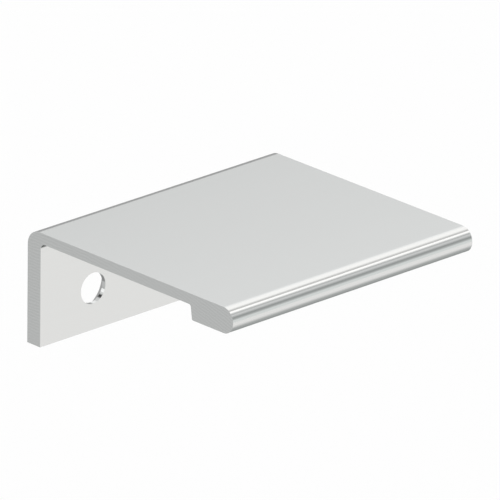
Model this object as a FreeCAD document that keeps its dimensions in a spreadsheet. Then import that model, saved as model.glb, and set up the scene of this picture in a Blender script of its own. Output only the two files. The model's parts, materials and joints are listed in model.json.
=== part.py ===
"""Tab pull for a door or drawer front: one length of an L-shaped aluminium profile.

Millimetres. +X runs along the profile, the finger lip points to -Y and +Z is up.
The origin is midway between the two screw holes, on the flange face that meets the door.
"""

import FreeCAD, Part

import math
import os

import Sketcher

NODE = "pull_body"

# Driving dimensions: name, value, what it measures
DIMENSIONS = (
    ("pull_length", 50.8, "cut length of the profile"),
    ("flange_height", 19.05, "foot of the flange to the top of the plate"),
    ("pull_depth", 46.05, "outer face of the flange to the tip of the lip"),
    ("flange_wall", 2.95, "thickness of the flange"),
    ("plate_wall", 1.8, "thickness of the plate"),
    ("lip_height", 4.25, "thickness of the lip, which its round nose fills"),
    ("lip_foot", 9.05, "tip of the lip to its heel"),
    ("heel_draft", 8.0, "lean of the lip's back wall, in degrees"),
    ("corner_radius", 2.65, "outer corner between flange and plate"),
    ("throat_radius", 1.0, "inner corner between flange and plate"),
    ("root_radius", 0.45, "inner corner between plate and lip"),
    ("heel_radius", 0.25, "lower back edge of the lip"),
    ("hole_pitch", 28.6, "distance between the two screw holes"),
    ("hole_rise", 6.93, "foot of the flange to the screw holes"),
    ("hole_diameter", 5.15, "clearance hole for the screw"),
    ("hole_land", 0.8, "straight part of the hole, at the door side"),
    ("sink_angle", 82.0, "included angle of the countersink, in degrees"),
)

# Sizes that follow from the driving ones: name, formula, what it measures
DERIVED = (
    ("nose_radius", "=lip_height / 2", "half-round nose of the lip"),
    ("top_level", "=flange_height - hole_rise", "screw holes to the top of the plate"),
    ("lip_reach", "=pull_depth - flange_wall", "door face to the tip of the lip"),
    ("heel_reach", "=lip_reach - lip_foot", "door face to the heel of the lip"),
    (
        "sink_diameter",
        "=hole_diameter + 2 * (flange_wall - hole_land) * tan(sink_angle / 2 * 1deg)",
        "mouth of the countersink",
    ),
)

# Points of a sketch element, and the sketch's own axes: the level one starts at its origin
START, END, CENTRE = range(1, 4)
LEVEL_AXIS, UPRIGHT_AXIS = range(-1, -3, -1)

# How far an edge may lie from the line that it is looked up by
EDGE_TOLERANCE = 0.001

# How far the cut-out volume may be from the one worked out for the holes, in cubic mm
VOLUME_TOLERANCE = 0.01


def make_sheet(doc):
    """Spreadsheet with one row for each size: name, value, what it measures."""
    sheet = doc.addObject("Spreadsheet::Sheet", "sizes")
    for row, (name, value, note) in enumerate(DIMENSIONS + DERIVED, start=1):
        sheet.set(f"A{row}", name)
        sheet.set(f"B{row}", str(value))
        sheet.setAlias(f"B{row}", name)
        sheet.set(f"C{row}", note)
    doc.recompute()
    return sheet


def origin_plane(body, role):
    """One of the body's own origin planes, by its role."""
    for feature in body.Origin.OriginFeatures:
        if feature.Role == role:
            return feature
    raise RuntimeError(f"the body has no {role}")


def new_sketch(body, name, role):
    """Empty sketch on one of the body's origin planes."""
    sketch = body.newObject("Sketcher::SketchObject", name)
    sketch.AttachmentSupport = [(origin_plane(body, role), "")]
    sketch.MapMode = "FlatFace"
    return sketch


def constrain(sketch, *definition):
    """Add one constraint that needs no size."""
    return sketch.addConstraint(Sketcher.Constraint(*definition))


def dimension(sketch, name, formula, *definition):
    """Add one constraint whose size comes from the spreadsheet."""
    index = constrain(sketch, *definition)
    sketch.renameConstraint(index, name)
    sketch.setExpression(f"Constraints.{name}", formula)


def heel_lean(sheet):
    """How far the lip's back wall leans towards the door between its heel and its root."""
    rise = sheet.lip_height - sheet.plate_wall
    return rise * math.tan(math.radians(sheet.heel_draft))


def line(start, end):
    """Straight sketch element between two points."""
    return Part.LineSegment(FreeCAD.Vector(*start, 0), FreeCAD.Vector(*end, 0))


def circle(across, up, radius):
    """Circle in the plane of a sketch."""
    return Part.Circle(FreeCAD.Vector(across, up, 0), FreeCAD.Vector(0, 0, 1), radius)


def profile_sketch(body, sheet):
    """Section of the extrusion across its length, seen from +X, with its corners still sharp."""
    wall = sheet.flange_wall
    foot = -sheet.hole_rise
    top = sheet.top_level
    underside = top - sheet.plate_wall
    lip_bottom = top - sheet.lip_height
    nose = sheet.nose_radius
    nose_centre = nose - sheet.lip_reach
    heel = -sheet.heel_reach
    root = heel + heel_lean(sheet)

    sketch = new_sketch(body, "profile", "YZ_Plane")
    outline = [
        line((0, foot), (wall, foot)),
        line((wall, foot), (wall, top)),
        line((wall, top), (nose_centre, top)),
        Part.ArcOfCircle(circle(nose_centre, top - nose, nose), math.pi / 2, 3 * math.pi / 2),
        line((nose_centre, lip_bottom), (heel, lip_bottom)),
        line((heel, lip_bottom), (root, underside)),
        line((root, underside), (0, underside)),
        line((0, underside), (0, foot)),
    ]
    ring = sketch.addGeometry(outline, False)
    foot_edge, outer_face, top_face, nose_arc, lip_face, heel_wall, under_face, door_face = ring

    for element, following in zip(ring, ring[1:] + ring[:1]):
        joint = "Tangent" if nose_arc in (element, following) else "Coincident"
        constrain(sketch, joint, element, END, following, START)
    for level in (foot_edge, top_face, lip_face, under_face):
        constrain(sketch, "Horizontal", level)
    for upright in (outer_face, door_face):
        constrain(sketch, "Vertical", upright)
    constrain(sketch, "PointOnObject", door_face, START, UPRIGHT_AXIS)

    dimension(sketch, "flange_wall", "sizes.flange_wall",
              "DistanceX", foot_edge, START, foot_edge, END, wall)
    dimension(sketch, "hole_rise", "sizes.hole_rise",
              "DistanceY", foot_edge, START, LEVEL_AXIS, START, -foot)
    dimension(sketch, "flange_height", "sizes.flange_height",
              "DistanceY", outer_face, START, outer_face, END, top - foot)
    dimension(sketch, "plate_wall", "sizes.plate_wall",
              "DistanceY", under_face, END, top_face, START, top - underside)
    dimension(sketch, "nose_radius", "sizes.nose_radius",
              "Radius", nose_arc, nose)
    dimension(sketch, "nose_reach", "sizes.lip_reach - sizes.nose_radius",
              "DistanceX", nose_arc, CENTRE, LEVEL_AXIS, START, -nose_centre)
    dimension(sketch, "heel_reach", "sizes.heel_reach",
              "DistanceX", lip_face, END, LEVEL_AXIS, START, -heel)
    dimension(sketch, "heel_slope", "90 deg - sizes.heel_draft * 1 deg",
              "Angle", heel_wall, math.radians(90 - sheet.heel_draft))
    return sketch


def long_edge(shape, y, z):
    """Name of the edge that runs along X at the given place in the section."""
    for number, edge in enumerate(shape.Edges, start=1):
        ends = [vertex.Point for vertex in edge.Vertexes]
        if all(math.hypot(end.y - y, end.z - z) < EDGE_TOLERANCE for end in ends):
            return f"Edge{number}"
    raise RuntimeError(f"no edge along X at y {y:.3f}, z {z:.3f}")


def round_edge(doc, body, base, name, radius, y, z):
    """Fillet one edge along X, which the bare extrusion has at the given place."""
    fillet = body.newObject("PartDesign::Fillet", name)
    fillet.Base = (base, [long_edge(base.Shape, y, z)])
    fillet.setExpression("Radius", f"sizes.{radius}")
    doc.recompute()
    return fillet


def hole_sketch(body, sheet):
    """Centre and bore of the near screw hole, on the flange's outer face."""
    half_pitch = sheet.hole_pitch / 2
    sketch = new_sketch(body, "hole_place", "XZ_Plane")
    sketch.setExpression("AttachmentOffset.Base.z", "-sizes.flange_wall")
    bore = sketch.addGeometry(circle(-half_pitch, 0, sheet.hole_diameter / 2), False)
    constrain(sketch, "PointOnObject", bore, CENTRE, LEVEL_AXIS)
    dimension(sketch, "half_pitch", "sizes.hole_pitch / 2",
              "DistanceX", bore, CENTRE, LEVEL_AXIS, START, half_pitch)
    dimension(sketch, "bore", "sizes.hole_diameter",
              "Diameter", bore, sheet.hole_diameter)
    return sketch


def rounded_extrusion(doc, body, sheet):
    """The cut length of profile, with the corners of its section rounded."""
    extrusion = body.newObject("PartDesign::Pad", "extrusion")
    extrusion.Profile = profile_sketch(body, sheet)
    extrusion.SideType = "Symmetric"
    extrusion.setExpression("Length", "sizes.pull_length")
    doc.recompute()

    underside = sheet.top_level - sheet.plate_wall
    lip_bottom = sheet.top_level - sheet.lip_height
    heel = -sheet.heel_reach
    root = heel + heel_lean(sheet)
    corners = (
        ("outer_corner", "corner_radius", sheet.flange_wall, sheet.top_level),
        ("throat", "throat_radius", 0.0, underside),
        ("lip_root", "root_radius", root, underside),
        ("lip_heel", "heel_radius", heel, lip_bottom),
    )
    solid = extrusion
    for name, radius, y, z in corners:
        solid = round_edge(doc, body, solid, name, radius, y, z)
    return solid


def screw_holes(doc, body, sheet):
    """The near countersunk hole, cut from the flange's outer face, and its mirrored twin."""
    hole = body.newObject("PartDesign::Hole", "screw_hole")
    hole.Profile = hole_sketch(body, sheet)
    doc.recompute()
    hole.Reversed = True
    hole.DepthType = "ThroughAll"
    hole.Threaded = False
    hole.HoleCutType = "Countersink"
    hole.HoleCutCustomValues = True
    hole.setExpression("Diameter", "sizes.hole_diameter")
    hole.setExpression("HoleCutDiameter", "sizes.sink_diameter")
    hole.setExpression("HoleCutCountersinkAngle", "sizes.sink_angle * 1 deg")

    pair = body.newObject("PartDesign::Mirrored", "screw_holes")
    pair.Originals = [hole]
    pair.MirrorPlane = (origin_plane(body, "YZ_Plane"), [""])
    body.Tip = pair
    doc.recompute()
    return pair


def hole_volume(sheet):
    """Metal that one countersunk hole takes out of the flange."""
    bore = sheet.hole_diameter / 2
    mouth = sheet.sink_diameter / 2
    sink_depth = sheet.flange_wall - sheet.hole_land
    land = math.pi * bore**2 * sheet.hole_land
    sink = math.pi * sink_depth / 3 * (bore**2 + bore * mouth + mouth**2)
    return land + sink


def check_model(doc, body):
    """Stop if anything in the document failed or the body is not one sound solid."""
    for item in doc.Objects:
        if "Invalid" in item.State or "Error" in item.State:
            raise RuntimeError(f"{item.Name} failed: {item.State}")
        if item.isDerivedFrom("Sketcher::SketchObject") and not item.FullyConstrained:
            raise RuntimeError(f"{item.Name} is not fully constrained")
    shape = body.Shape
    if shape.isNull() or not shape.isValid() or len(shape.Solids) != 1:
        raise RuntimeError(f"{body.Label} is not one sound solid")


def main():
    doc = FreeCAD.newDocument("tab_pull")
    sheet = make_sheet(doc)
    body = doc.addObject("PartDesign::Body", "body")
    body.Label = NODE
    plain = rounded_extrusion(doc, body, sheet).Shape.Volume
    drilled = screw_holes(doc, body, sheet).Shape.Volume
    check_model(doc, body)
    cut_out = plain - drilled
    if abs(cut_out - 2 * hole_volume(sheet)) > VOLUME_TOLERANCE:
        raise RuntimeError(f"the screw holes took out {cut_out:.3f} cubic mm")

    os.makedirs("parts", exist_ok=True)
    body.Shape.exportStep(f"parts/{body.Label}.step")
    box = body.Shape.BoundBox
    print(f"{body.Label}: {box.XLength:.3f} x {box.YLength:.3f} x {box.ZLength:.3f} mm,"
          f" {body.Shape.Volume:.2f} cubic mm")


main()
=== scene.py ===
import json
import math

import bmesh
import bpy
from bpy.props import FloatProperty, FloatVectorProperty, IntProperty, PointerProperty
from mathutils import Matrix, Vector


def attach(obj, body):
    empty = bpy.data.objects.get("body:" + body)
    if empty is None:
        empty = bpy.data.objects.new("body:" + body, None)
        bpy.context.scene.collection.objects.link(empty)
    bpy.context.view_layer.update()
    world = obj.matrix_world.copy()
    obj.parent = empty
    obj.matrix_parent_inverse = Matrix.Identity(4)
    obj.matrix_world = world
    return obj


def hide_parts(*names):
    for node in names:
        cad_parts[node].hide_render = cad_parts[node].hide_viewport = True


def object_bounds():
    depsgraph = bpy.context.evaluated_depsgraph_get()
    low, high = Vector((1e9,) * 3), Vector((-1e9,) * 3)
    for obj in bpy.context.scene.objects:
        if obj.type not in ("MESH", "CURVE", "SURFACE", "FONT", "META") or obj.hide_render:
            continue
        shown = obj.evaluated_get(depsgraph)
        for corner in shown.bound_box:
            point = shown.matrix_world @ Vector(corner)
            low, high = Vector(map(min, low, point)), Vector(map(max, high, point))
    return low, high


bl_info = {
    "name": "Tab Pull",
    "version": (1, 0, 0),
    "blender": (4, 5, 0),
    "location": "View3D > Sidebar > Tab Pull",
    "description": "Models a bright aluminium tab pull and the studio it stands in",
    "category": "Object",
}

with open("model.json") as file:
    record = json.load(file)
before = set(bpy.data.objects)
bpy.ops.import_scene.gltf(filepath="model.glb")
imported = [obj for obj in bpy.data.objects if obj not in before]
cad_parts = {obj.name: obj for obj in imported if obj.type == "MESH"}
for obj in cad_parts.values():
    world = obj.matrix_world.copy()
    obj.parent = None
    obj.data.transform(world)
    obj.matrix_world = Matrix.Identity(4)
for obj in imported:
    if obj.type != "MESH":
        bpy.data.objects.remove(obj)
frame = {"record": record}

BODY = "root"
NODE = "pull_body"

MM = 0.001
RIGHT_ANGLE = math.radians(90)
CAD_LOW, CAD_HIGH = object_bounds()
SCREW_DIMS = next(m for m in frame["record"]["mounts"] if m["name"] == "screw_holes")["dims"]

# Places closer than this are the same place, and points closer than the next are merged
SAME_PLACE = 0.002 * MM
MERGE_DISTANCE = 0.0002 * MM

# Directions whose cosine is above this are the same direction
SAME_DIRECTION = 0.999

# Faces that meet at less than this are one flat face
FLAT_ANGLE = math.radians(0.5)

# Faces that meet at less than this shade as one round face
ROUND_ANGLE = math.radians(35)

# Bevel setting that gives a circular round, and the facets across a broken edge
CIRCULAR = 0.5
BREAK_STEPS = 3

# Distance after which a Wave texture of scale 1 repeats
WAVE_PERIOD = math.tau / 20

# Sockets of a Mix node for colours: the second's share, the two colours and the result
SHARE, FIRST, SECOND = 0, 6, 7
MIXED = 2


def length_property(name, description, default):
    """A size in metres, shown in the scene's length unit."""
    return FloatProperty(
        name=name, description=description, default=default, unit="LENGTH", precision=5
    )


def angle_property(name, description, degrees):
    """An angle, given in degrees and kept in radians."""
    return FloatProperty(
        name=name, description=description, default=math.radians(degrees), unit="ROTATION"
    )


def share_property(name, description, default):
    """A plain number from 0 to 1."""
    return FloatProperty(
        name=name, description=description, default=default, min=0.0, max=1.0, subtype="FACTOR"
    )


def linear_colour(hex_colour):
    """Linear red, green and blue of an sRGB hex colour."""
    channels = (int(hex_colour[at : at + 2], 16) / 255 for at in (1, 3, 5))
    return tuple(
        c / 12.92 if c <= 0.04045 else ((c + 0.055) / 1.055) ** 2.4 for c in channels
    )


def colour_property(name, description, hex_colour):
    """A colour, given as sRGB hex."""
    return FloatVectorProperty(
        name=name,
        description=description,
        subtype="COLOR",
        size=3,
        min=0.0,
        max=1.0,
        default=linear_colour(hex_colour),
    )


class TABPULL_PG_sizes(bpy.types.PropertyGroup):
    """Sizes of the profile and its screw holes"""

    length: length_property("Length", "Cut length of the profile", CAD_HIGH.x - CAD_LOW.x)
    top: length_property("Top", "Screw holes to the top of the plate", CAD_HIGH.z)
    foot: length_property("Foot", "Screw holes to the foot of the flange", -CAD_LOW.z)
    flange_wall: length_property("Flange", "Thickness of the flange", CAD_HIGH.y)
    # Not read from the CAD's box, because its facets end just short of the lip's round tip
    reach: length_property("Reach", "Door face to the tip of the lip", 43.1 * MM)
    plate_wall: length_property("Plate", "Thickness of the plate", 1.8 * MM)
    lip_height: length_property("Lip height", "Thickness of the lip", 4.25 * MM)
    lip_foot: length_property("Lip foot", "Tip of the lip to its heel", 9.05 * MM)
    heel_draft: angle_property("Heel draft", "Lean of the lip's back wall", 8.0)
    corner_radius: length_property("Corner", "Outer corner between flange and plate", 2.65 * MM)
    throat_radius: length_property("Throat", "Inner corner between flange and plate", 1.0 * MM)
    root_radius: length_property("Root", "Inner corner between plate and lip", 0.45 * MM)
    heel_radius: length_property("Heel", "Lower back edge of the lip", 0.25 * MM)
    edge_break: length_property("Edge break", "Rounding left by deburring the cut ends", 0.02 * MM)
    hole_pitch: length_property(
        "Hole pitch", "Distance between the screw holes", SCREW_DIMS["spacing_x_mm"] * MM
    )
    hole_radius: length_property(
        "Hole radius", "Radius of the screw holes", SCREW_DIMS["hole_r_mm"] * MM
    )
    # The photograph's hole fits a land 0.1 mm shorter than the CAD's
    hole_land: length_property("Hole land", "Straight part of the hole", 0.7 * MM)
    sink_angle: angle_property("Countersink", "Included angle of the countersink", 82.0)
    arc_steps: IntProperty(
        name="Arc steps", description="Facets in a quarter turn of a corner", default=24, min=4
    )
    hole_steps: IntProperty(
        name="Hole steps", description="Facets round a screw hole", default=96, min=12
    )


class TABPULL_PG_finish(bpy.types.PropertyGroup):
    """Colours, gloss and marks of the metal"""

    bright: colour_property("Bright", "Bright-dipped aluminium", "#F5F7F6")
    bright_shade: colour_property("Bright shade", "The same in its die lines", "#F2F4F3")
    # Painted shade: the saw marks' grooves are coloured darker, standing for the shade that falls
    # in them
    saw_groove_painted_shade: colour_property("Sawn shade", "The same in its saw marks", "#F1F3F2")
    # Painted shade: a dark grey laid into the throat's colour, standing for the shade in that
    # inner corner
    throat_painted_shade: colour_property("Dull", "Throat that the buffing wheel doesn't reach", "#828482")
    bright_roughness: share_property("Bright roughness", "Roughness of the buffed faces", 0.14)
    bright_spread: share_property("Bright spread", "Its change either way in a die line", 0.01)
    dull_roughness: share_property("Dull roughness", "Roughness of the throat", 0.3)
    sawn_roughness: share_property("Sawn roughness", "Roughness of the cut ends", 0.24)
    sawn_spread: share_property("Sawn spread", "Its change either way in a saw mark", 0.03)
    drilled_roughness: share_property("Drilled roughness", "Roughness of the hole walls", 0.15)
    drilled_spread: share_property("Drilled spread", "Its change either way in a ring", 0.02)
    line_spacing: length_property("Die lines", "Distance between the die lines", 0.25 * MM)
    line_length: length_property("Die line length", "Run of a die line along the pull", 40 * MM)
    line_depth: length_property("Die line depth", "Depth of the die lines", 0.0001 * MM)
    saw_spacing: length_property("Saw marks", "Distance between the saw marks", 0.5 * MM)
    saw_depth: length_property("Saw mark depth", "Depth of the saw marks", 0.0004 * MM)
    blade_radius: length_property("Saw blade", "Radius of the saw blade", 125 * MM)
    drill_spacing: length_property("Drill marks", "Distance between the drill's rings", 0.3 * MM)
    drill_depth: length_property("Drill mark depth", "Depth of the drill's rings", 0.0004 * MM)


class TABPULL_PG_studio(bpy.types.PropertyGroup):
    """Camera and floor"""

    azimuth: angle_property("Azimuth", "Camera's turn round the pull from its front", -43.768)
    elevation: angle_property("Elevation", "Camera's height above the horizon", 21.553)
    roll: angle_property("Roll", "Camera's turn about its own line of sight", 0.809)
    distance: length_property("Distance", "Aim point to the camera", 1664.0 * MM)
    focal_length: FloatProperty(
        name="Focal length", description="In millimetres", default=775.88, unit="CAMERA"
    )
    aim: FloatVectorProperty(
        name="Aim",
        description="Point that the camera looks at",
        subtype="TRANSLATION",
        unit="LENGTH",
        default=(1.425 * MM, -18.571 * MM, 7.724 * MM),
    )
    floor_drop: length_property("Floor drop", "Foot of the flange to the floor", 150 * MM)
    floor_size: length_property("Floor size", "Side of the square floor", 3.0)
    floor_colour: colour_property("Floor", "Pale floor", "#FEFEFE")


def deselect_all():
    """Leave object mode's selection empty, so that an operator acts on the new primitive alone."""
    bpy.ops.object.select_all(action="DESELECT")


def select_only(piece):
    """Select one piece and make it the active one."""
    deselect_all()
    piece.select_set(True)
    bpy.context.view_layer.objects.active = piece


def settle(piece):
    """Put a primitive's place, turn and scale into its mesh."""
    bpy.ops.object.transform_apply(location=True, rotation=True, scale=True)
    return piece


def add_block(name, low, high):
    """Box between two corners."""
    deselect_all()
    bpy.ops.mesh.primitive_cube_add(size=1, location=(low + high) / 2, scale=high - low)
    piece = bpy.context.object
    piece.name = name
    piece.data.name = name
    return settle(piece)


def pick(piece, kind, wanted):
    """In edit mode, select the faces or edges of a piece that pass a test, and nothing else."""
    modes = {"faces": (False, False, True), "edges": (False, True, False)}
    bpy.context.tool_settings.mesh_select_mode = modes[kind]
    bpy.ops.mesh.select_all(action="DESELECT")
    mesh = bmesh.from_edit_mesh(piece.data)
    mesh.normal_update()
    found = [part for part in getattr(mesh, kind) if wanted(part)]
    if not found:
        raise RuntimeError(f"{piece.name} has none of the {kind} that were looked for")
    for part in found:
        part.select_set(True)
    mesh.select_flush_mode()
    bmesh.update_edit_mesh(piece.data)


def faces_towards(direction, passes=lambda centre: True):
    """Test for faces that point one way and whose centres pass another test."""
    aim = Vector(direction)
    return lambda face: (
        face.normal.dot(aim) > SAME_DIRECTION and passes(face.calc_center_median())
    )


def edges_along_x(y, z):
    """Test for edges that run along the profile at one place in its section."""

    def at_place(edge):
        return all(
            abs(end.co.y - y) < SAME_PLACE and abs(end.co.z - z) < SAME_PLACE
            for end in edge.verts
        )

    return at_place


def push(offset):
    """Extrude the picked faces by an offset."""
    bpy.ops.mesh.extrude_region_move(TRANSFORM_OT_translate={"value": offset})


def round_long_edge(piece, y, z, radius, turn, steps):
    """Round an edge along the profile; turn is the angle between its two faces' directions."""
    pick(piece, "edges", edges_along_x(y, z))
    bpy.ops.mesh.bevel(
        offset_type="OFFSET",
        offset=radius * math.tan(turn / 2),
        segments=max(2, round(steps * turn / RIGHT_ANGLE)),
        profile=CIRCULAR,
        affect="EDGES",
        clamp_overlap=False,
    )


def model_profile(sizes):
    """The bar before drilling: plate, flange and lip pushed out of one block, corners rounded."""
    half = sizes.length / 2
    underside = sizes.top - sizes.plate_wall
    lip_bottom = sizes.top - sizes.lip_height
    heel = sizes.lip_foot - sizes.reach
    lean = (sizes.lip_height - sizes.plate_wall) * math.tan(sizes.heel_draft)
    root = heel + lean

    piece = add_block(
        "bright_pull", Vector((-half, root, underside)), Vector((half, 0.0, sizes.top))
    )
    bpy.ops.object.mode_set(mode="EDIT")
    pick(piece, "faces", faces_towards((0, 1, 0)))
    push((0, sizes.flange_wall, 0))
    pick(piece, "faces", faces_towards((0, 0, -1), lambda centre: centre.y > 0))
    push((0, 0, -sizes.foot - underside))
    pick(piece, "faces", faces_towards((0, -1, 0), lambda centre: centre.y < root / 2))
    push((0, -sizes.reach - root, 0))
    pick(piece, "faces", faces_towards((0, 0, -1), lambda centre: centre.y < root))
    push((0, 0, lip_bottom - underside))
    pick(piece, "edges", edges_along_x(root, lip_bottom))
    bpy.ops.transform.translate(value=(0, -lean, 0))

    bpy.ops.mesh.select_all(action="SELECT")
    bpy.ops.mesh.dissolve_limited(angle_limit=FLAT_ANGLE)

    drafted = RIGHT_ANGLE - sizes.heel_draft
    nose = sizes.lip_height / 2
    rounds = (
        (sizes.flange_wall, sizes.top, sizes.corner_radius, RIGHT_ANGLE),
        (0.0, underside, sizes.throat_radius, RIGHT_ANGLE),
        (root, underside, sizes.root_radius, drafted),
        (heel, lip_bottom, sizes.heel_radius, drafted),
        (-sizes.reach, sizes.top, nose, RIGHT_ANGLE),
        (-sizes.reach, lip_bottom, nose, RIGHT_ANGLE),
    )
    for y, z, radius, turn in rounds:
        round_long_edge(piece, y, z, radius, turn, sizes.arc_steps)
    bpy.ops.mesh.select_all(action="SELECT")
    bpy.ops.mesh.remove_doubles(threshold=MERGE_DISTANCE)
    bpy.ops.object.mode_set(mode="OBJECT")
    return piece


def break_end_edges(piece, sizes):
    """Take the burr off both cut ends with a small round."""
    half = sizes.length / 2

    def on_end(edge):
        return all(abs(abs(end.co.x) - half) < SAME_PLACE for end in edge.verts)

    bpy.ops.object.mode_set(mode="EDIT")
    pick(piece, "edges", on_end)
    bpy.ops.mesh.bevel(
        offset_type="OFFSET",
        offset=sizes.edge_break,
        segments=BREAK_STEPS,
        profile=CIRCULAR,
        affect="EDGES",
    )
    bpy.ops.object.mode_set(mode="OBJECT")


def model_drill(sizes, x):
    """The space of one countersunk hole: a straight land, then a cone to past the flange."""
    past = 1.0 * MM
    sink_depth = sizes.flange_wall + past - sizes.hole_land
    mouth = sizes.hole_radius + sink_depth * math.tan(sizes.sink_angle / 2)
    deselect_all()
    bpy.ops.mesh.primitive_cylinder_add(
        vertices=sizes.hole_steps,
        radius=sizes.hole_radius,
        depth=past + sizes.hole_land,
        location=(x, (sizes.hole_land - past) / 2, 0),
        rotation=(-RIGHT_ANGLE, 0, 0),
    )
    drill = settle(bpy.context.object)
    bpy.ops.object.mode_set(mode="EDIT")
    pick(drill, "faces", faces_towards((0, 1, 0)))
    push((0, sink_depth, 0))
    widen = mouth / sizes.hole_radius
    bpy.ops.transform.resize(value=(widen, 1, widen))
    bpy.ops.object.mode_set(mode="OBJECT")
    return drill


def cut(piece, tool):
    """Take a tool's space out of a piece and delete the tool."""
    select_only(piece)
    modifier = piece.modifiers.new("cut", "BOOLEAN")
    modifier.operation = "DIFFERENCE"
    modifier.solver = "EXACT"
    modifier.object = tool
    bpy.ops.object.modifier_apply(modifier=modifier.name)
    bpy.data.objects.remove(tool)


def smooth(piece):
    """Round corners shade round and flat faces stay flat right up to them."""
    select_only(piece)
    bpy.ops.object.shade_smooth_by_angle(angle=ROUND_ANGLE)
    modifier = piece.modifiers.new("flat_faces_first", "WEIGHTED_NORMAL")
    modifier.keep_sharp = True
    bpy.ops.object.modifier_apply(modifier=modifier.name)


def add_node(tree, kind, settings=None, inputs=None):
    """Add a node with its settings, and give its inputs values, sockets or other nodes."""
    node = tree.nodes.new(kind)
    for name, value in (settings or {}).items():
        setattr(node, name, value)
    for socket, value in (inputs or {}).items():
        if isinstance(value, bpy.types.Node):
            value = value.outputs[0]
        if isinstance(value, bpy.types.NodeSocket):
            tree.links.new(value, node.inputs[socket])
        else:
            node.inputs[socket].default_value = value
    return node


def new_material(name):
    """Empty node material and its tree."""
    material = bpy.data.materials.new(name)
    material.use_nodes = True
    material.node_tree.nodes.clear()
    return material, material.node_tree


def show_metal(tree, colour, roughness, marks, depth):
    """Metal with marks of a given depth in it, as the material's surface."""
    bump = add_node(tree, "ShaderNodeBump", inputs={"Height": marks, "Distance": depth})
    metal = add_node(
        tree,
        "ShaderNodeBsdfPrincipled",
        inputs={"Base Color": colour, "Metallic": 1.0, "Roughness": roughness, "Normal": bump},
    )
    add_node(tree, "ShaderNodeOutputMaterial", inputs={"Surface": metal})


# Distances from the throat's sharp corner, as shares of its radius: before the first, painted
# shade darkens the throat's colour and its gloss is duller, and past the second the metal is fully
# the buffed metal. Half-way round, the throat is nearest to that corner, at 0.41
THROAT_SHADE_REACH = (0.5, 0.9)


def bright_dipped_aluminium(finish, throat, throat_radius):
    """Extruded aluminium, buffed and bright-dipped.

    It gives the eye long clean reflections, a trace of the die's lines along the profile, and
    painted shade in the throat, the inner corner behind the door's edge, whose gloss is also
    duller. Real die lines are under 0.1 mm apart, so they are drawn wider to show.
    """
    material, tree = new_material("bright_dipped_aluminium")
    place = add_node(tree, "ShaderNodeTexCoord").outputs["Object"]
    stretched = add_node(
        tree,
        "ShaderNodeMapping",
        inputs={
            "Vector": place,
            "Scale": (1 / finish.line_length, 1 / finish.line_spacing, 1 / finish.line_spacing),
        },
    )
    lines = add_node(
        tree, "ShaderNodeTexNoise", inputs={"Vector": stretched, "Scale": 1.0, "Detail": 2.0}
    )
    buffed_colour = add_node(
        tree,
        "ShaderNodeMix",
        {"data_type": "RGBA"},
        {SHARE: lines, FIRST: (*finish.bright, 1.0), SECOND: (*finish.bright_shade, 1.0)},
    )
    buffed_roughness = add_node(
        tree,
        "ShaderNodeMapRange",
        inputs={
            "Value": lines,
            "To Min": finish.bright_roughness - finish.bright_spread,
            "To Max": finish.bright_roughness + finish.bright_spread,
        },
    )
    section = add_node(
        tree, "ShaderNodeVectorMath", {"operation": "MULTIPLY"}, {0: place, 1: (0, 1, 1)}
    )
    from_corner = add_node(
        tree, "ShaderNodeVectorMath", {"operation": "DISTANCE"}, {0: section, 1: throat}
    )
    # Share of the surface clear of the throat's painted shade and duller gloss
    clear_of_throat_shade = add_node(
        tree,
        "ShaderNodeMapRange",
        {"interpolation_type": "SMOOTHSTEP"},
        {
            "Value": from_corner.outputs["Value"],
            "From Min": THROAT_SHADE_REACH[0] * throat_radius,
            "From Max": THROAT_SHADE_REACH[1] * throat_radius,
        },
    )
    # Painted shade: in the throat the colour turns to the dark grey
    colour = add_node(
        tree,
        "ShaderNodeMix",
        {"data_type": "RGBA"},
        {SHARE: clear_of_throat_shade, FIRST: (*finish.throat_painted_shade, 1.0), SECOND: buffed_colour.outputs[MIXED]},
    )
    roughness = add_node(
        tree,
        "ShaderNodeMapRange",
        inputs={"Value": clear_of_throat_shade, "To Min": finish.dull_roughness, "To Max": buffed_roughness},
    )
    show_metal(tree, colour.outputs[MIXED], roughness, lines, finish.line_depth)
    return material


def sawn_aluminium(finish, foot):
    """Aluminium cut to length by a fine circular saw.

    It gives the eye a flat satin face with faint arcs that the blade left, whose grooves carry
    painted shade. Real arcs are about
    0.1 mm apart, so they are drawn wider to show.
    """
    material, tree = new_material("sawn_aluminium")
    place = add_node(tree, "ShaderNodeTexCoord").outputs["Object"]
    from_blade = add_node(
        tree,
        "ShaderNodeMapping",
        inputs={"Vector": place, "Location": (0, 0, finish.blade_radius + foot)},
    )
    arcs = add_node(
        tree,
        "ShaderNodeTexWave",
        {"wave_type": "RINGS", "rings_direction": "X"},
        {
            "Vector": from_blade,
            "Scale": WAVE_PERIOD / finish.saw_spacing,
            "Distortion": 3.0,
            "Detail": 2.0,
        },
    ).outputs["Fac"]
    # Painted shade: the arcs darken the colour in the saw marks' grooves
    colour = add_node(
        tree,
        "ShaderNodeMix",
        {"data_type": "RGBA"},
        {SHARE: arcs, FIRST: (*finish.bright, 1.0), SECOND: (*finish.saw_groove_painted_shade, 1.0)},
    )
    roughness = add_node(
        tree,
        "ShaderNodeMapRange",
        inputs={
            "Value": arcs,
            "To Min": finish.sawn_roughness - finish.sawn_spread,
            "To Max": finish.sawn_roughness + finish.sawn_spread,
        },
    )
    show_metal(tree, colour.outputs[MIXED], roughness, arcs, finish.saw_depth)
    return material


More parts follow.
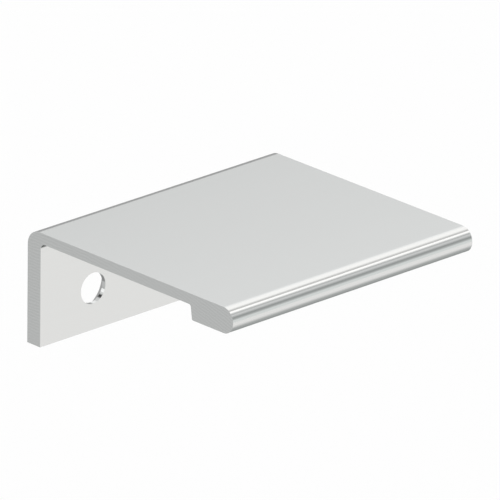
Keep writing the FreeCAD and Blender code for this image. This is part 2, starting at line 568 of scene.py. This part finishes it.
def drilled_aluminium(finish):
    """Aluminium cut by a drill and a countersink.

    It gives the eye bright walls with faint rings round the hole, one for each turn of the
    drill. Real rings are about 0.1 mm apart, so they are drawn wider to show.
    """
    material, tree = new_material("drilled_aluminium")
    place = add_node(tree, "ShaderNodeTexCoord").outputs["Object"]
    rings = add_node(
        tree,
        "ShaderNodeTexWave",
        {"wave_type": "BANDS", "bands_direction": "Y"},
        {
            "Vector": place,
            "Scale": WAVE_PERIOD / finish.drill_spacing,
            "Distortion": 0.5,
        },
    ).outputs["Fac"]
    roughness = add_node(
        tree,
        "ShaderNodeMapRange",
        inputs={
            "Value": rings,
            "To Min": finish.drilled_roughness - finish.drilled_spread,
            "To Max": finish.drilled_roughness + finish.drilled_spread,
        },
    )
    show_metal(tree, (*finish.bright, 1.0), roughness, rings, finish.drill_depth)
    return material


# Finishes, numbered in the order of the piece's material slots
BRIGHT, SAWN, DRILLED = range(3)


def finish_of(face, sizes):
    """Which finish a face has, by its place and by where it points."""
    if abs(face.center.x) > sizes.length / 2 - sizes.edge_break:
        return SAWN
    off_axis = Vector((abs(face.center.x) - sizes.hole_pitch / 2, face.center.z)).length
    is_flat = abs(face.normal.y) > SAME_DIRECTION
    return DRILLED if off_axis < 2 * sizes.hole_radius and not is_flat else BRIGHT


class TABPULL_OT_make_body(bpy.types.Operator):
    """Model the pull: one extruded profile with two countersunk holes"""

    bl_idname = "tab_pull.make_body"
    bl_label = "Make Pull Body"

    def execute(self, context):
        sizes = context.scene.tab_pull_sizes
        finish = context.scene.tab_pull_finish
        piece = model_profile(sizes)
        break_end_edges(piece, sizes)
        for side in (-1, 1):
            cut(piece, model_drill(sizes, side * sizes.hole_pitch / 2))
        smooth(piece)

        throat = (0.0, 0.0, sizes.top - sizes.plate_wall)
        finishes = {
            BRIGHT: bright_dipped_aluminium(finish, throat, sizes.throat_radius),
            SAWN: sawn_aluminium(finish, sizes.foot),
            DRILLED: drilled_aluminium(finish),
        }
        for material in finishes.values():
            piece.data.materials.append(material)
        for face in piece.data.polygons:
            face.material_index = finish_of(face, sizes)

        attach(piece, BODY)
        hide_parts(NODE)
        return {"FINISHED"}


# White papers of the tent, as the metal shows them
PAPERS = {"warm": "#FFFDFC", "plain": "#FFFFFF", "cool": "#FCFFFE"}

# Strips of the light tent, all of them along the pull: paper, first angle, last angle, level.
# The angle goes round the pull in degrees, from 0 at the horizon behind it over 90 straight up
# to 180 at the horizon in front, and below the horizon it is negative. A level of 1 is white.
TENT = {
    "far front floor": ("cool", -178.0, -159.3, 0.713),
    "front floor": ("warm", -157.3, -136.4, 0.828),
    "floor below": ("cool", -94.6, -83.7, 0.396),
    "back floor below": ("cool", -73.2, -60.3, 0.299),
    "back floor": ("cool", -47.1, -32.1, 0.792),
    "back horizon": ("plain", -30.1, 23.8, 0.364),
    "back wall": ("plain", 30.6, 46.9, 0.873),
    "back roof": ("warm", 48.9, 78.1, 1.02),
    "roof seam": ("warm", 100.5, 102.4, 0.49),
    "front roof": ("warm", 104.4, 116.4, 1.12),
    "upper front wall": ("plain", 128.6, 134.5, 0.458),
    "lower front wall": ("plain", 137.2, 142.9, 0.632),
    "front horizon": ("cool", 162.2, 164.5, 0.315),
}

# Cards that stand in the tent, each over those before it: direction from the pull, half-angle
# in degrees within which the card is whole, half-angle at which its soft edge ends, level
CARDS = {
    "pale grey card overhead": ((-0.12, 0.12, 0.985), 24.0, 38.0, 0.74),
    "pale grey card behind and above": ((-0.60, 0.60, 0.53), 18.0, 32.0, 0.66),
    "dark card behind and below": ((-0.154, 0.67, -0.725), 14.0, 37.0, 0.26),
    "grey card beside and below": ((-0.69, 0.67, -0.265), 10.5, 18.0, 0.515),
    "grey card beside and in front": ((-0.69, -0.67, -0.265), 12.0, 22.0, 0.54),
    "grey card behind and above": ((0.06, 0.67, 0.74), 8.0, 16.0, 0.62),
    "black card behind": ((-0.335, 0.67, 0.66), 4.0, 14.5, 0.02),
    "white card behind": ((-0.70, 0.67, 0.25), 7.5, 11.5, 1.0),
}

# Level of the tent's two ends, and how far towards them its strips start and finish fading out
END_LEVEL = 0.6
END_FADE = (0.80, 0.95)


def grey(level):
    """Neutral colour of a level, where 1 is white."""
    return (level, level, level, 1.0)


def light_tent(scene):
    """White all round, with the tent's strips and cards before it in the metal's reflections."""
    world = bpy.data.worlds.new("light_tent")
    scene.world = world
    world.use_nodes = True
    tree = world.node_tree
    tree.nodes.clear()
    direction = add_node(tree, "ShaderNodeTexCoord").outputs["Generated"]
    axes = add_node(tree, "ShaderNodeSeparateXYZ", inputs={"Vector": direction})
    angle = add_node(
        tree,
        "ShaderNodeMath",
        {"operation": "ARCTAN2"},
        {0: axes.outputs["Z"], 1: axes.outputs["Y"]},
    )
    share = add_node(
        tree,
        "ShaderNodeMapRange",
        inputs={"Value": angle, "From Min": -math.pi, "From Max": math.pi},
    )
    strips = add_node(tree, "ShaderNodeValToRGB", inputs={"Fac": share})
    strips.color_ramp.interpolation = "EASE"
    stops = [
        (at, level * Vector(linear_colour(PAPERS[paper])))
        for paper, first, last, level in TENT.values()
        for at in (first, last)
    ]
    seam = (stops[0][1] + stops[-1][1]) / 2
    stops = [(-180.0, seam), *stops, (180.0, seam)]
    while len(strips.color_ramp.elements) < len(stops):
        strips.color_ramp.elements.new(1.0)
    for element, (degrees, colour) in zip(strips.color_ramp.elements, stops):
        element.position = (degrees + 180) / 360
        element.color = (*colour, 1.0)

    sideways = add_node(
        tree, "ShaderNodeMath", {"operation": "ABSOLUTE"}, {0: axes.outputs["X"]}
    )
    fade = add_node(
        tree,
        "ShaderNodeMapRange",
        {"interpolation_type": "SMOOTHSTEP"},
        {"Value": sideways, "From Min": END_FADE[0], "From Max": END_FADE[1]},
    )
    tent = add_node(
        tree,
        "ShaderNodeMix",
        {"data_type": "RGBA"},
        {SHARE: fade, FIRST: strips, SECOND: grey(END_LEVEL)},
    )
    for name, (aim, whole, edge, level) in CARDS.items():
        nearness = add_node(
            tree,
            "ShaderNodeVectorMath",
            {"operation": "DOT_PRODUCT"},
            {0: direction, 1: Vector(aim).normalized()},
        )
        cover = add_node(
            tree,
            "ShaderNodeMapRange",
            {"interpolation_type": "SMOOTHSTEP"},
            {
                "Value": nearness.outputs["Value"],
                "From Min": math.cos(math.radians(edge)),
                "From Max": math.cos(math.radians(whole)),
            },
        )
        tent = add_node(
            tree,
            "ShaderNodeMix",
            {"data_type": "RGBA", "label": name},
            {SHARE: cover, FIRST: tent.outputs[MIXED], SECOND: grey(level)},
        )

    in_metal = add_node(tree, "ShaderNodeLightPath").outputs["Is Glossy Ray"]
    seen = add_node(
        tree,
        "ShaderNodeMix",
        {"data_type": "RGBA"},
        {SHARE: in_metal, FIRST: grey(1.0), SECOND: tent.outputs[MIXED]},
    )
    backdrop = add_node(
        tree, "ShaderNodeBackground", inputs={"Color": seen.outputs[MIXED], "Strength": 1.0}
    )
    add_node(tree, "ShaderNodeOutputWorld", inputs={"Surface": backdrop})


def pale_floor(studio):
    """Plain pale floor well below the pull, which a door would hold up.

    It shows from above alone, so that the pull can be looked at from below too. In the metal
    the tent's own floor shows in its place.
    """
    deselect_all()
    bpy.ops.mesh.primitive_plane_add(
        size=studio.floor_size, location=(0, 0, CAD_LOW.z - studio.floor_drop)
    )
    floor = settle(bpy.context.object)
    floor.name = "floor"
    floor.visible_glossy = False
    material, tree = new_material("pale_floor")
    paper = add_node(
        tree, "ShaderNodeBsdfDiffuse", inputs={"Color": (*studio.floor_colour, 1.0)}
    )
    below = add_node(tree, "ShaderNodeNewGeometry").outputs["Backfacing"]
    clear = add_node(tree, "ShaderNodeBsdfTransparent")
    shown = add_node(tree, "ShaderNodeMixShader", inputs={0: below, 1: paper, 2: clear})
    add_node(tree, "ShaderNodeOutputMaterial", inputs={"Surface": shown})
    floor.data.materials.append(material)


def long_lens(scene, studio):
    """Camera at the photograph's viewing angle."""
    data = bpy.data.cameras.new("camera")
    data.lens = studio.focal_length
    camera = bpy.data.objects.new("camera", data)
    scene.collection.objects.link(camera)
    turn = (
        Matrix.Rotation(studio.azimuth, 4, "Z")
        @ Matrix.Rotation(RIGHT_ANGLE - studio.elevation, 4, "X")
        @ Matrix.Rotation(studio.roll, 4, "Z")
    )
    back = turn.to_3x3() @ Vector((0, 0, 1))
    camera.matrix_world = Matrix.Translation(Vector(studio.aim) + studio.distance * back) @ turn
    scene.camera = camera


class TABPULL_OT_set_stage(bpy.types.Operator):
    """Set up the light tent, the pale floor and the camera"""

    bl_idname = "tab_pull.set_stage"
    bl_label = "Set Stage"

    def execute(self, context):
        scene = context.scene
        scene.view_settings.view_transform = "Standard"
        light_tent(scene)
        pale_floor(scene.tab_pull_studio)
        long_lens(scene, scene.tab_pull_studio)
        return {"FINISHED"}


class TABPULL_PT_panel(bpy.types.Panel):
    """Steps that build the tab pull"""

    bl_label = "Tab Pull"
    bl_idname = "TABPULL_PT_panel"
    bl_space_type = "VIEW_3D"
    bl_region_type = "UI"
    bl_category = "Tab Pull"

    def draw(self, context):
        column = self.layout.column()
        for operator in OPERATORS:
            column.operator(operator.bl_idname)


GROUPS = {
    "tab_pull_sizes": TABPULL_PG_sizes,
    "tab_pull_finish": TABPULL_PG_finish,
    "tab_pull_studio": TABPULL_PG_studio,
}
OPERATORS = (TABPULL_OT_make_body, TABPULL_OT_set_stage)


def register():
    for each in (*GROUPS.values(), *OPERATORS, TABPULL_PT_panel):
        bpy.utils.register_class(each)
    for name, group in GROUPS.items():
        setattr(bpy.types.Scene, name, PointerProperty(type=group))


def unregister():
    for name in GROUPS:
        delattr(bpy.types.Scene, name)
    for each in (TABPULL_PT_panel, *reversed(OPERATORS), *reversed(GROUPS.values())):
        bpy.utils.unregister_class(each)


def main():
    register()
    bpy.ops.tab_pull.make_body()
    bpy.ops.tab_pull.set_stage()


if __name__ == "__main__":
    main()
